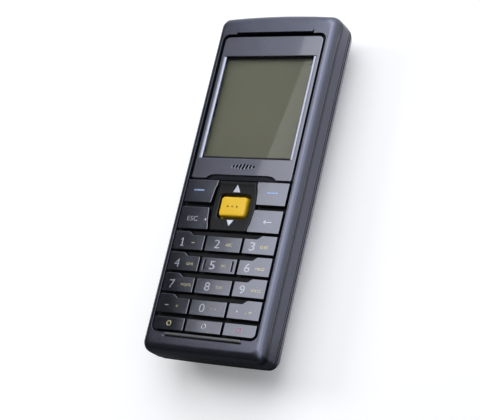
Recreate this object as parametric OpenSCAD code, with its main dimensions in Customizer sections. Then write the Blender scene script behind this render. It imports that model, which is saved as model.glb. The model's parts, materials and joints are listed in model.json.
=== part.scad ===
// Portable barcode data terminal: a slim hand-held slab with a display window over a tile keypad.
// It lies on its back. +X is to the right of the display, +Y towards the scanning end and
// +Z out of the display. The origin is the middle of the footprint, on the resting face.

/* [Body] */
// Width across the side walls
body_w = 51; // [50.6:0.2:53]
// Length from the heel to the scanning end
body_l = 135; // [134.6:0.2:138]
// Height from the resting face to the tops of the keys
body_h = 24; // [24:0.2:26]
// Thickness of the shells' walls
wall = 1.8; // [1.6:0.1:1.9]
// Height of the seam band's lower edge
seam_low = 10.9; // [10.9:0.05:11]
// Height of the seam band between the two shells
seam_h = 2; // [1.8:0.1:2.1]
// Radius of the corners, seen from above
corner_r = 3; // [3:0.5:4.5]
// Width over which the rounded back curves up to the sides
back_curve = 13.6; // [12.5:0.1:13.6]

/* [Display] */
// Half the width of the bezel panel and of the keypad
panel_half = 21.6; // [21.4:0.1:21.6]
// Half the width of the display window
window_half = 19.25; // [18.8:0.05:19.25]
// Lower edge of the display window
window_low = 8.1; // [8:0.1:8.4]
// Upper edge of the display window
window_high = 49.8; // [49:0.1:49.8]
// Upper edge of the bezel panel
bezel_top = 57.9; // [57.5:0.1:57.9]
// Thickness of the bezel panel
bezel_t = 1.6; // [1.4:0.1:1.6]

/* [Keypad] */
// Distance between the rows of number keys
row_pitch = 8.1; // [8:0.02:8.1]
// Height of a number key along the keypad
number_h = 7.05; // [6.8:0.05:7.1]
// Upper edge of the first row of number keys
number_top = -21.5; // [-21.6:0.1:-21.4]
// Width of the gap between two columns of keys
column_gap = 1; // [0.9:0.05:1.1]
// Distance from the middle to the centre of a column gap
column_x = 8.05; // [8:0.05:8.2]
// How far the middle of a number row is set back from its ends
notch_d = 1.35; // [1:0.05:1.4]
// Thickness of a key's tile
tile_t = 1.5; // [1.3:0.1:1.6]
// How far a key travels
key_travel = 0.8; // [0.5:0.1:0.8]

/* [Battery] */
// Half the width of the battery cover
cover_half = 18.5; // [18:0.1:18.5]
// Upper edge of the battery cover
cover_top = 20; // [19:0.5:20]
// Thickness of the battery cover
cover_t = 1.6; // [1.4:0.1:1.6]

/* [Hidden] */
fine = 48;
eps = 0.02;
half_w = body_w / 2;
half_l = body_l / 2;

// Heights of the layers, counted down from the tops of the keys
key_top = body_h;
panel_z = key_top - 0.8;
rim_z = key_top - 1;
gasket_t = 0.7;
frame_top = key_top - 2.4;
frame_low = key_top - 3.8;
glass_top = frame_top;
lcd_top = key_top - 3.6;
backlight_top = key_top - 5.1;
board_top = key_top - 7;
board_t = 1.6;
dome_t = 0.3;
mat_t = 0.7;
seam_high = seam_low + seam_h;
belt_z = 13.2;
deck_low = seam_low - 1.3;

// Rounding of the front edges and of the ends
brow_w = 1.4;
brow_h = 4.6;
end_roll = 3.8;
heel_curve = 12;
nose_curve = 5.5;
bow_top = 0.95;
bow_low = 0.25;

// Width of the bright strips beside the window
strip_w = 1.3;

// Opening of the front shell
opening_half = panel_half + 1.15;
opening_low = -60.1;
opening_top = bezel_top + 1.1;
tab_half = 16.6;
tab_rise = 0.7;

// Rows of keys, each as [upper edge, lower edge]
soft_row = [-1.1, -9.9];
edit_row = [-11.8, -20.4];
ring_row = [-54.5, -59.2];
function number_row(i) = [number_top - i * row_pitch, number_top - i * row_pitch - number_h];
inner_x = column_x + column_gap / 2;
middle_half = column_x - column_gap / 2;
notch_start = 15.6;
notch_slope = 1.7;
tile_inset = 0.3;
tile_step = 0.35;
key_hang = 0.05;
stem_w = 7;
stem_h = 2.4;
stem_play = 0.3;
flange_t = 0.75;
flange_reach = 0.5;
mat_button_top = frame_low - key_hang - flange_t - key_travel - 0.15;
mat_button_r = 1.6;

// Navigation rocker and scan key
nav_y = -10.85;
nav_top = -1.3;
nav_low = 2 * nav_y - nav_top;
nav_waist = 7.9;
nav_belly = 9.2;
nav_gap = 0.6;
nav_dip = 1.7;
nav_crest_z = key_top - 0.25;
nav_base_z = key_top - 4.5;
nav_pivot_z = key_top - 3.7;
nav_pin_r = 0.8;
nav_pin_play = 0.05;
nav_pin_end = 11.2;
nav_dish_r = (pow(nav_top - nav_y, 2) + nav_dip * nav_dip) / (2 * nav_dip);
scan_key_w = 11.2;
scan_key_l = 7.7;
scan_key_gap = 0.8;

// Case screws and the posts that they hold
nose_screw = [17.5, 61.4];
heel_screw = [16.2, -62.6];
screw_spots = [nose_screw, heel_screw];
screw_r = 0.8;
screw_play = 0.05;
screw_head_r = 1.5;
screw_head_t = 1.1;
screw_seat_z = deck_low;
screw_l = 10.6;
post_r = 2.6;
boss_r = 2.1;
board_screw_spots = [[21.1, -10.85], [21.1, -53.4]];
board_screw_r = 0.7;
pillar_r = 1.3;

// Battery bay
cover_gap = 0.15;
bay_wall = 2;
cover_travel = 8;
tongue_w = 0.8;
tongue_t = 0.8;
tongue_z = 3.5;
tongue_l = 6;
tongue_y = [-46, -16, 12];
battery_half = 17;
battery_low = 2.9;
battery_y = [-50, 13];
// Cross wall at the heel end of the bay, clear of the cover's rising sides
stop_half = cover_half - 1.6;
stop_y = [-58.6, -57];
cover_end_z = 8.6;

// Scanning end
engine_half = 10.5;
engine_y = [45, 61.2];
engine_z = [1.8, 11.2];
scan_frame_half = 14;
scan_frame_z = [2.2, 10.4];
scan_glass_half = 12.2;
scan_glass_z = [3.2, 9.6];
cradle_pad_y = 32;
cradle_pad_x = [-7.5, -2.5, 2.5, 7.5];

// Colours
shell_grey = "#4a4c55";
band_black = "#1d1e22";
panel_blue = "#777a88";
tile_grey = "#7b7c86";
soft_black = "#141518";
lcd_olive = "#6d705c";
silver = "#d4d6da";
scan_yellow = "#e6c93e";
board_green = "#1f5b3a";
steel = "#b5b7bb";

// Points of an elliptical arc round [cx, cy], from angle a0 to a1
function arc(cx, cy, rx, ry, a0, a1, n = 8) =
    [for (i = [0:n]) [cx + rx * cos(a0 + (a1 - a0) * i / n), cy + ry * sin(a0 + (a1 - a0) * i / n)]];

// A half outline from below to above, closed with its mirror image in X
function both_sides(points) =
    concat(points, [for (i = [len(points) - 1:-1:0]) [-points[i][0], points[i][1]]]);

// An outline turned over in X, in the same winding
function flipped(points) = [for (i = [len(points) - 1:-1:0]) [-points[i][0], points[i][1]]];

function rounded(x0, y0, x1, y1, r) = concat(
    arc(x1 - r, y1 - r, r, r, 0, 90), arc(x0 + r, y1 - r, r, r, 90, 180),
    arc(x0 + r, y0 + r, r, r, 180, 270), arc(x1 - r, y0 + r, r, r, 270, 360));

// Cross-section of the body: round back, upright sides and a brow that rolls to the front
function section(inset) =
    let (brow = max(brow_w - inset, 0.2))
    both_sides(concat(
        arc(half_w - back_curve, belt_z, back_curve - inset, belt_z - inset, -90, 0, 16),
        arc(half_w - inset - brow, rim_z - brow_h, brow, brow_h - inset, 0, 90)));

// The body from above: rounded corners between ends that bow outwards
function plan(inset) =
    let (r = corner_r - inset / 2, flat = half_w - inset - r, end = half_l - inset)
    both_sides(concat(
        [for (i = [1:5]) [flat * i / 6, bow_low * pow(i / 6, 2) - end]],
        arc(flat, bow_low + r - end, r, r, -90, 0),
        arc(flat, end - bow_top - r, r, r, 0, 90),
        [for (i = [5:-1:1]) [flat * i / 6, end - bow_top * pow(i / 6, 2)]]));

// The body from the side, as [y, z]: a round heel, a steeper nose and a front that rolls off
function profile(inset) = concat(
    arc(heel_curve - half_l, belt_z, heel_curve - inset, belt_z - inset, 180, 270, 12),
    arc(half_l - nose_curve, belt_z, nose_curve - inset, belt_z - inset, 270, 360, 10),
    arc(half_l - end_roll, rim_z - brow_h, end_roll - inset, brow_h - inset, 0, 90),
    arc(end_roll - half_l, rim_z - brow_h, end_roll - inset, brow_h - inset, 90, 180));

// The whole body's form, drawn in by inset on every side
module body_form(inset = 0) {
    intersection() {
        rotate([90, 0, 0]) linear_extrude(2 * body_l, center = true) polygon(section(inset));
        translate([0, 0, -1]) linear_extrude(body_h + 2) polygon(plan(inset));
        rotate([90, 0, 90]) linear_extrude(2 * body_w, center = true) polygon(profile(inset));
    }
}

// A box from one corner to the other
module box(low, high) {
    translate(low) cube(high - low);
}

// A plate between two heights
module plate(points, low, high) {
    translate([0, 0, low]) linear_extrude(high - low) polygon(points);
}

module level(low, high) {
    box([-body_w, -body_l, low], [body_w, body_l, high]);
}

module drill(x, y, r, low, high) {
    translate([x, y, low]) cylinder(r = r, h = high - low, $fn = fine);
}

module both_hands() {
    children();
    mirror([1, 0, 0]) children();
}

module at_both_sides(spots) {
    both_hands() for (spot = spots) translate([spot[0], spot[1], 0]) children();
}

// ---- Casing ----

module front_shell() {
    color(shell_grey) difference() {
        union() {
            difference() {
                intersection() {
                    body_form();
                    level(seam_high, rim_z);
                }
                body_form(wall);
            }
            at_both_sides(screw_spots) drill(0, 0, boss_r, seam_high, rim_z - wall + 0.2);
            // lip under the keypad
            box([-15.9, -60.75, rim_z - wall], [15.9, opening_low, rim_z + 0.35]);
        }
        plate(rounded(-opening_half, opening_low, opening_half, opening_top, 2.8), seam_low, body_h);
        // the opening's set-back upper edge, with a nick at each end
        box([-tab_half, bezel_top, seam_low], [tab_half, opening_top + tab_rise, body_h]);
        at_both_sides([[tab_half + 0.1, opening_top + tab_rise]])
            box([-0.25, -0.2, rim_z - 0.5], [0.25, 0.8, body_h]);
        // groove below the lip
        box([-16.8, -61.35, rim_z - 0.5], [16.8, -60.75, body_h]);
        at_both_sides(screw_spots) drill(0, 0, screw_r + screw_play, seam_low, rim_z - wall - 0.4);
    }
}

module seam_band() {
    color(band_black) difference() {
        intersection() {
            body_form(0.12);
            level(seam_low, seam_high);
        }
        body_form(wall - 0.2);
    }
}

// Everything that the battery cover sweeps through, plus its running gap
module cover_space(gap) {
    box([-cover_half - gap, -body_l, -1], [cover_half + gap, cover_top + gap, cover_end_z + gap]);
}

module bay_stop() {
    box([-stop_half, stop_y[0], battery_low], [stop_half, stop_y[1], seam_low]);
}

module rear_shell() {
    color(shell_grey) difference() {
        intersection() {
            union() {
                difference() {
                    level(0, seam_low);
                    body_form(wall);
                }
                // deck above the battery, and the bay's side and end walls
                box([-21, -half_l, deck_low], [21, cover_top + bay_wall, seam_low]);
                both_hands()
                    box([cover_half + cover_gap, -half_l, 0], [cover_half + bay_wall, cover_top, seam_low]);
                box([-20, cover_top + cover_gap, 0], [20, cover_top + bay_wall, seam_low]);
                bay_stop();
                at_both_sides([nose_screw]) drill(0, 0, post_r, 0, seam_low);
            }
            body_form();
        }
        // bay, open below and through the heel, for the cover to slide out
        difference() {
            cover_space(cover_gap);
            level(deck_low, body_h);
            bay_stop();
        }
        // grooves for the cover's tongues
        both_hands()
            box([cover_half, tongue_y[0] - cover_travel - 0.3, tongue_z - cover_gap],
                [cover_half + tongue_w + 0.2, cover_top + cover_gap, tongue_z + tongue_t + cover_gap]);
        at_both_sides(screw_spots) {
            drill(0, 0, screw_r + screw_play, 0, seam_high);
            drill(0, 0, screw_head_r + 0.3, -1, screw_seat_z);
        }
        box([-scan_frame_half, 60, scan_frame_z[0]], [scan_frame_half, body_l, scan_frame_z[1]]);
        cradle_pads(0, -1);
    }
    color(shell_grey) screw_sleeves();
}

// Sleeves that carry the screw posts on through the seam band
module screw_sleeves() {
    difference() {
        at_both_sides(screw_spots) drill(0, 0, 2.05, seam_low, seam_high);
        at_both_sides(screw_spots) drill(0, 0, screw_r + screw_play, seam_low - 1, seam_high + 1);
    }
}

// Four pads in the back that meet the contacts of a charging cradle
module cradle_pads(inset, low) {
    for (x = cradle_pad_x) box([x - 1.3 + inset, cradle_pad_y - 2.5 + inset, low],
        [x + 1.3 - inset, cradle_pad_y + 2.5 - inset, wall + 0.6]);
}

module cradle_contacts() {
    color("#c9a54a") cradle_pads(0.05, 0.15);
}

module case_screws() {
    color(steel) at_both_sides(screw_spots) difference() {
        union() {
            drill(0, 0, screw_head_r, screw_seat_z - screw_head_t, screw_seat_z);
            drill(0, 0, screw_r, screw_seat_z - eps, screw_seat_z + screw_l);
        }
        drill(0, 0, 0.5, screw_seat_z - screw_head_t - 1, screw_seat_z - 0.5);
    }
}

// ---- Battery ----

module battery_cover() {
    color(shell_grey) {
        difference() {
            intersection() {
                body_form();
                cover_space(0);
            }
            body_form(cover_t);
            // grip ribs for the thumb
            for (i = [0:5]) box([-7, 8 + 1.6 * i, -1], [7, 8.7 + 1.6 * i, 0.35]);
        }
        // tongues that run in the rear shell's grooves, and the bars that carry them
        both_hands() for (y = tongue_y) {
            box([cover_half - 0.2, y, tongue_z], [cover_half + tongue_w, y + tongue_l, tongue_z + tongue_t]);
            box([cover_half - 1.2, y, 2], [cover_half, y + tongue_l, tongue_z + tongue_t]);
        }
    }
}

module battery_pack() {
    color("#2c3440") plate(rounded(-battery_half, battery_y[0], battery_half, battery_y[1], 2),
        battery_low + 0.1, deck_low - 0.1);
}

// Sprung blades at the head of the bay, with the block that holds them
module battery_contacts() {
    color("#c9a54a") for (x = [-6, 0, 6]) {
        box([x - 1.2, battery_y[1], 5], [x + 1.2, battery_y[1] + 0.3, 9.4]);
        box([x - 1.2, battery_y[1], 9.1], [x + 1.2, 17, 9.4]);
    }
    color(soft_black) box([-9, 17, 5], [9, 20.1, 9.5]);
}

// ---- Display ----

module display_bezel() {
    color(panel_blue) difference() {
        plate(concat([[panel_half, -0.1]], arc(panel_half - 2.3, bezel_top - 2.3, 2.3, 2.3, 0, 90),
            arc(2.3 - panel_half, bezel_top - 2.3, 2.3, 2.3, 90, 180), [[-panel_half, -0.1]]),
            panel_z - bezel_t, panel_z);
        // hole for the window and its two bright strips
        box([-window_half - strip_w, window_low, 0], [window_half + strip_w, window_high, body_h + 1]);
        // sound slots, leaning to the right and shorter towards both ends of the row
        for (i = [-3:3]) translate([0.1 + 1.45 * i, 4.9, 0]) rotate([0, 0, -24])
            box([-0.3, abs(i) * 0.22 - 1.1, 0], [0.3, 1.1 - abs(i) * 0.22, body_h + 1]);
        // finger scoop in the lower edge
        plate([[-15.2, -1], [15.2, -1], [14.6, 0.4], [13.4, 1.2], [11.5, 1.45], [-11.5, 1.45],
            [-13.4, 1.2], [-14.6, 0.4]], panel_z - 0.7, body_h + 1);
    }
}

// Bright strip down one side of the window, falling a little towards the display
module window_strip(side) {
    color(silver) mirror([side < 0 ? 1 : 0, 0, 0]) translate([0, window_high, 0]) rotate([90, 0, 0])
        linear_extrude(window_high - window_low) polygon([
            [window_half, panel_z - bezel_t], [window_half + strip_w, panel_z - bezel_t],
            [window_half + strip_w, panel_z], [window_half, panel_z - 0.35]]);
}

module window_strip_left() {
    window_strip(-1);
}

module window_strip_right() {
    window_strip(1);
}

module display_gasket() {
    color(soft_black) difference() {
        plate(rounded(-22.5, -0.2, 22.5, 58.8, 2.5), glass_top - gasket_t, glass_top);
        box([-20.9, 6.9, 0], [20.9, 50.9, body_h]);
        box([-6.2, 1.1, 0], [6.2, 6.4, body_h]);
    }
}

// Black carrier round the display, with a ledge under the front shell's opening
module display_frame() {
    color(soft_black) difference() {
        union() {
            plate(rounded(-22.5, -0.2, 22.5, 58.8, 2.5), board_top, glass_top - gasket_t);
            plate(rounded(-23.3, -0.2, 23.3, 59.2, 2.5), frame_low, glass_top - gasket_t);
        }
        box([-21, 6.8, 0], [21, 52.5, body_h]);
        box([-6.1, 1.2, 0], [6.1, 6.9, body_h]);
    }
}

module display_window() {
    color("#9fa795", 0.35) plate(rounded(-20.7, 7.1, 20.7, 50.7, 0.8), lcd_top + 0.1, glass_top);
}

module lcd_glass() {
    color(lcd_olive) box([-20.4, 7.1, backlight_top], [20.4, 50.9, lcd_top]);
}

module lcd_backlight() {
    color("#e9ebe4") difference() {
        box([-20.9, 6.9, board_top], [20.9, 52.4, backlight_top]);
        // seat of the board-edge connector
        box([-9, 51, board_top - 1], [9, 53, board_top + 1.2]);
    }
}

module lcd_connector() {
    color("#d9d2bd") box([-8.6, 51.2, board_top], [8.6, 52.3, board_top + 1.1]);
}

module speaker() {
    color(soft_black) difference() {
        box([-6, 1.3, board_top], [6, 6.2, glass_top - 0.9]);
        for (i = [-2:2]) drill(2 * i, 3.75, 0.45, glass_top - 1.9, body_h);
    }
}

// ---- Keypad ----

// Half outline of the rocker, or of the hollow round it, drawn out by gap
function nav_outline(gap) = both_sides([
    [nav_waist + gap, nav_low - gap], [nav_waist + 0.1 + gap, nav_low + 1.8],
    [nav_waist + 0.6 + gap, nav_low + 2.8], [nav_belly + gap, nav_y],
    [nav_waist + 0.6 + gap, nav_top - 2.8], [nav_waist + 0.1 + gap, nav_top - 1.8],
    [nav_waist + gap, nav_top + gap]]);

// Right-hand tiles beside the rocker: their inner edge follows it
function soft_points(d) = [
    [nav_waist + nav_gap + d, soft_row[0] - d], [nav_waist + nav_gap + 0.1 + d, nav_top - 1.8],
    [nav_waist + nav_gap + 0.6 + d, nav_top - 2.8], [nav_belly + nav_gap + d, soft_row[1] + d],
    [panel_half - d, soft_row[1] + d], [panel_half - d, soft_row[0] - d]];

function edit_points(d) = [
    [nav_belly + nav_gap + d, edit_row[0] - d], [nav_waist + nav_gap + 0.6 + d, nav_low + 2.8],
    [nav_waist + nav_gap + 0.1 + d, nav_low + 1.8], [nav_waist + nav_gap + d, edit_row[1] + d],
    [panel_half - d, edit_row[1] + d], [panel_half - d, edit_row[0] - d]];

// Number keys: the two outer ones step down at their inner end, the middle one is low all along
function outer_points(row, d) = [
    [inner_x + d, row[1] + d], [panel_half - d, row[1] + d], [panel_half - d, row[0] - d],
    [notch_start + d, row[0] - d], [notch_start - notch_slope + d, row[0] - notch_d - d],
    [inner_x + d, row[0] - notch_d - d]];

function middle_points(row, d) = [
    [d - middle_half, row[1] + d], [middle_half - d, row[1] + d],
    [middle_half - d, row[0] - notch_d - d], [d - middle_half, row[0] - notch_d - d]];

// Bottom row: plain tiles, the outer ones with a rounded corner
function ring_points(d) = concat([[inner_x + d, ring_row[1] + d]],
    arc(panel_half - 1.6, ring_row[1] + 1.6, 1.6 - d, 1.6 - d, 270, 360, 6),
    [[panel_half - d, ring_row[0] - d], [inner_x + d, ring_row[0] - d]]);

function ring_middle_points(d) = [
    [d - middle_half, ring_row[1] + d], [middle_half - d, ring_row[1] + d],
    [middle_half - d, ring_row[0] - d], [d - middle_half, ring_row[0] - d]];

outer_x = (inner_x + panel_half) / 2;
soft_x = 15.6;

// One tile key: [name, outline as a function of the inset, stem's x, stem's y]
function mid(row, low = 0) = (row[0] + row[1] - low) / 2;
function number_keys(i, names) = [
    [names[0], function(d) flipped(outer_points(number_row(i), d)), -outer_x, mid(number_row(i), notch_d)],
    [names[1], function(d) middle_points(number_row(i), d), 0, mid(number_row(i), notch_d)],
    [names[2], function(d) outer_points(number_row(i), d), outer_x, mid(number_row(i), notch_d)]];

TILE_KEYS = concat(
    [["key_soft_left", function(d) flipped(soft_points(d)), -soft_x, mid(soft_row)],
     ["key_soft_right", function(d) soft_points(d), soft_x, mid(soft_row)],
     ["key_escape", function(d) flipped(edit_points(d)), -soft_x, mid(edit_row)],
     ["key_back", function(d) edit_points(d), soft_x, mid(edit_row)]],
    number_keys(0, ["key_1", "key_2", "key_3"]),
    number_keys(1, ["key_4", "key_5", "key_6"]),
    number_keys(2, ["key_7", "key_8", "key_9"]),
    number_keys(3, ["key_minus", "key_0", "key_point"]),
    [["key_ring_yellow", function(d) flipped(ring_points(d)), -outer_x, mid(ring_row)],
     ["key_ring_white", function(d) ring_middle_points(d), 0, mid(ring_row)],
     ["key_ring_red", function(d) ring_points(d), outer_x, mid(ring_row)]]);

module stem_block(key, grow, low, high) {
    translate([key[2], key[3], 0])
        box([-stem_w / 2 - grow, -stem_h / 2 - grow, low], [stem_w / 2 + grow, stem_h / 2 + grow, high]);
}

// A tile with a stepped edge, its stem, and the flange that keeps it in the frame
module tile_key(key) {
    outline = key[1];
    color(tile_grey) difference() {
        union() {
            plate(outline(0), key_top - tile_t, key_top - tile_step);
            plate(outline(tile_inset), key_top - tile_t, key_top);
            stem_block(key, 0, frame_low - key_hang - flange_t, key_top - tile_t + 0.1);
            stem_block(key, stem_play + flange_reach, frame_low - key_hang - flange_t, frame_low - key_hang);
        }
        // the middle key's two feelable grooves
        if (key[0] == "key_5")
            both_hands() box([5.7, key[3] - 1.9, key_top - 0.3], [6.3, key[3] + 1.9, body_h + 1]);
    }
}

module nav_rocker() {
    color(soft_black) difference() {
        union() {
            difference() {
                plate(nav_outline(0), nav_base_z, nav_crest_z);
                translate([0, nav_y, nav_crest_z - nav_dip + nav_dish_r]) rotate([0, 90, 0])
                    cylinder(r = nav_dish_r, h = 2 * body_w, center = true, $fn = 96);
            }
            translate([0, nav_y, nav_pivot_z]) rotate([0, 90, 0])
                cylinder(r = nav_pin_r, h = 2 * nav_pin_end, center = true, $fn = fine);
        }
        nav_hole(scan_key_gap, nav_base_z - 1, body_h + 1);
        nav_hole(scan_key_gap + 0.8, nav_base_z - 1, nav_base_z + 1.1);
    }
}

// The rocker's hole for the scan key, drawn out by gap from the key's own outline
module nav_hole(gap, low, high) {
    plate(rounded(-scan_key_w / 2 - gap, nav_y - scan_key_l / 2 - gap,
        scan_key_w / 2 + gap, nav_y + scan_key_l / 2 + gap, 1.4), low, high);
}

// Yellow pillow key: rounded steps, a skirt under the rocker's shoulder and a stem
module scan_key() {
    color(scan_yellow) {
        for (step = [[0, 0.7], [0.25, 0.3], [0.6, 0.1], [1.1, 0]])
            nav_hole(-step[0], nav_base_z + 0.2, key_top - step[1]);
        nav_hole(scan_key_gap + 0.35, nav_base_z + 0.05, nav_base_z + 0.6);
    }
}

module keypad_frame() {
    color(soft_black) difference() {
        union() {
            plate(rounded(-22.5, -59.9, 22.5, -0.4, 2), frame_low, frame_top);
            // ledge under the front shell's opening
            plate(rounded(-23.3, -60.4, 23.3, -0.4, 2), frame_low, rim_z - wall - 0.05);
            // dividers that stand in the notches of the number rows
            for (i = [0:3]) plate([[-notch_start + 0.7, number_row(i)[0] + 0.5],
                [-notch_start + notch_slope + 0.2, number_row(i)[0] - notch_d + 0.5],
                [notch_start - notch_slope - 0.2, number_row(i)[0] - notch_d + 0.5],
                [notch_start - 0.7, number_row(i)[0] + 0.5]], frame_low, key_top - 1.3);
            // lugs that hold the rocker's pins
            at_both_sides([[10.7, nav_y]]) box([-0.85, -1.9, nav_pivot_z - 1.6], [0.85, 1.9, frame_top]);
            at_both_sides(board_screw_spots) drill(0, 0, pillar_r, board_top, frame_top);
        }
        plate(nav_outline(0.45), 0, body_h);
        translate([0, nav_y, nav_pivot_z]) rotate([0, 90, 0])
            cylinder(r = nav_pin_r + nav_pin_play, h = 2 * nav_pin_end + 2, center = true, $fn = fine);
        for (key = TILE_KEYS) stem_block(key, stem_play, 0, body_h);
        at_both_sides(board_screw_spots) drill(0, 0, board_screw_r + screw_play, 0, frame_low);
    }
}

// Rubber sheet with a button under every key
module keypad_mat() {
    color("#8d9094") {
        plate(rounded(-19.2, -59.4, 19.2, -0.9, 1), board_top + dome_t, board_top + dome_t + mat_t);
        for (key = TILE_KEYS) drill(key[2], key[3], mat_button_r, board_top + dome_t, mat_button_top);
        for (y = [nav_top - 2.4, nav_y, nav_low + 2.4])
            drill(0, y, mat_button_r, board_top + dome_t, mat_button_top);
    }
}

module dome_sheet() {
    color("#cfd2d6") plate(rounded(-19.2, -59.4, 19.2, -0.9, 1), board_top, board_top + dome_t);
}

// ---- Electronics ----

module main_board() {
    color(board_green) difference() {
        plate(rounded(-22.4, -60, 22.4, 58.4, 1.5), board_top - board_t, board_top);
        at_both_sides(board_screw_spots) drill(0, 0, board_screw_r + screw_play, 0, body_h);
    }
}

module board_screws() {
    color(steel) at_both_sides(board_screw_spots) {
        drill(0, 0, 1.25, board_top - board_t - 0.8, board_top - board_t);
        drill(0, 0, board_screw_r, board_top - board_t - eps, board_top + 2.6);
    }
}

module board_shield() {
    color(steel) plate(rounded(-13, 22, 13, 40, 0.6), board_top - board_t - 2, board_top - board_t);
}

module processor_chip() {
    color("#26272b") box([-9, -16, board_top - board_t - 1.4], [9, 2, board_top - board_t]);
}

module memory_backup_cell() {
    color(silver) drill(-12, -30, 4.8, board_top - board_t - 2.1, board_top - board_t);
}

module scan_engine() {
    color("#33353c") difference() {
        box([-engine_half, engine_y[0], engine_z[0]], [engine_half, engine_y[1], engine_z[1]]);
        // light path out of the nose
        box([-8.5, engine_y[1] - 1.2, 3.6], [8.5, engine_y[1] + 1, 9.4]);
        translate([0, engine_y[1] + 1, 6.5]) rotate([90, 0, 0]) cylinder(r = 2.2, h = 5, $fn = fine);
    }
}

module engine_lens() {
    color("#5d6f86", 0.6) translate([0, engine_y[1] - 2, 6.5]) rotate([90, 0, 0])
        cylinder(r = 2.1, h = 1.6, $fn = fine);
}

// Two red lamps beside the lens, whose light makes the scanning line
module engine_lamps() {
    color("#c8352c") for (x = [-5.6, 5.6])
        box([x - 1.3, engine_y[1] - 1.2, 5.2], [x + 1.3, engine_y[1] - 0.2, 7.8]);
}

module engine_ribbon() {
    color("#c88a3a") {
        box([-5, 44.7, 6], [5, 45, board_top - board_t]);
        box([-5, 42, board_top - board_t - 0.3], [5, 45, board_top - board_t]);
    }
}

module scan_window_frame() {
    color(band_black) difference() {
        intersection() {
            body_form();
            box([-scan_frame_half, 63.2, scan_frame_z[0]], [scan_frame_half, body_l, scan_frame_z[1]]);
        }
        box([0.8 - scan_glass_half, 60, scan_glass_z[0] + 0.7],
            [scan_glass_half - 0.8, body_l, scan_glass_z[1] - 0.7]);
        box([-scan_glass_half, 62, scan_glass_z[0]], [scan_glass_half, 64.4, scan_glass_z[1]]);
    }
}

module scan_window() {
    color("#8c1f24", 0.6)
        box([-scan_glass_half, 63.4, scan_glass_z[0]], [scan_glass_half, 64.4, scan_glass_z[1]]);
}

TILE_NAMES = [for (key = TILE_KEYS) key[0]];

front_shell();
seam_band();
rear_shell();
case_screws();
battery_cover();
battery_pack();
battery_contacts();
cradle_contacts();
display_bezel();
window_strip_left();
window_strip_right();
display_gasket();
display_frame();
display_window();
lcd_glass();
lcd_backlight();
lcd_connector();
speaker();
nav_rocker();
scan_key();
keypad_frame();
keypad_mat();
dome_sheet();
main_board();
board_screws();
board_shield();
processor_chip();
memory_backup_cell();
scan_engine();
engine_lens();
engine_lamps();
engine_ribbon();
scan_window_frame();
scan_window();
for (key = TILE_KEYS) tile_key(key);
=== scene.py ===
# %% [markdown]
# # A pocket barcode terminal, dressed around its construction
#
# The terminal is a slim slab of dark satin plastic. A painted bezel frames an olive display, and below it lie
# nineteen tile keys round a gloss black rocker with a yellow scan key. Every length below is in millimetres,
# and +X is right of the display, +Y the scanning end and +Z out of the display.
#
# %% Load the frame
import json
import math

import bmesh
import bpy
import numpy as np
from mathutils import Matrix, Vector
from mathutils.geometry import delaunay_2d_cdt

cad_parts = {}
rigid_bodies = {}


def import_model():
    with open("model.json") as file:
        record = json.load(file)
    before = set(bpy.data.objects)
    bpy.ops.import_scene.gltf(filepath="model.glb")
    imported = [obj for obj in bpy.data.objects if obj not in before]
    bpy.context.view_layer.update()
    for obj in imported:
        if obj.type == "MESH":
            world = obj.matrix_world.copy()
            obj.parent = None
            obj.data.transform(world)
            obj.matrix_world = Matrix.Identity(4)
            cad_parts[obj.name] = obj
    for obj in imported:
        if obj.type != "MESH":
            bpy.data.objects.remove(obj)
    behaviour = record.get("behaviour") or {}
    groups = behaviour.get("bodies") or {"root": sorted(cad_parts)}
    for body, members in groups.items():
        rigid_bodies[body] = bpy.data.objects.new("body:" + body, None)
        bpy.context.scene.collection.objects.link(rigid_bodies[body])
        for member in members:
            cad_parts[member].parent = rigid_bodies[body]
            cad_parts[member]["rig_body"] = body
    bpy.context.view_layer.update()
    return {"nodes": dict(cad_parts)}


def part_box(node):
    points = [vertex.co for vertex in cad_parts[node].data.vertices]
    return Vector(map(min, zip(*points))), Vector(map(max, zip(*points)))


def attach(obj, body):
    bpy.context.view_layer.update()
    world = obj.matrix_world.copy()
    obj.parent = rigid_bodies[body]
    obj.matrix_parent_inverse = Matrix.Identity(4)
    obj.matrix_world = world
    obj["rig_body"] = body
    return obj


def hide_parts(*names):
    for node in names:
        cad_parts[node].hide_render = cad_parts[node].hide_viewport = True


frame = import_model()
MM = 0.001

# %% [markdown]
# ## The camera
#
# A product photographer stands back and uses a long lens, so the slab hardly tapers. The matrix holds the
# camera's own right, up and backward directions as rows, in the frame of the terminal.
#
# %% Place the camera
CAMERA_AXES = Matrix(((0.84328, 0.22352, -0.48879), (-0.04600, 0.93610, 0.34871),
                      (0.53550, -0.27157, 0.79968)))
CAMERA_SPOT = Vector((293.64, -159.22, 456.89)) * MM
FOCAL_LENGTH, SENSOR_WIDTH = 111.82, 36


def linked(name, data):
    """A new object in the scene that carries this data."""
    made = bpy.data.objects.new(name, data)
    bpy.context.scene.collection.objects.link(made)
    return made


camera = linked("camera", bpy.data.cameras.new("camera"))
camera.matrix_world = Matrix.Translation(CAMERA_SPOT) @ CAMERA_AXES.transposed().to_4x4()
camera.data.lens, camera.data.sensor_width = FOCAL_LENGTH, SENSOR_WIDTH
camera.data.clip_start = 0.01
bpy.context.scene.camera = camera
bpy.context.scene.view_settings.view_transform = "Standard"
print("camera stands", round(CAMERA_SPOT.length, 3), "m from the terminal")

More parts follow.
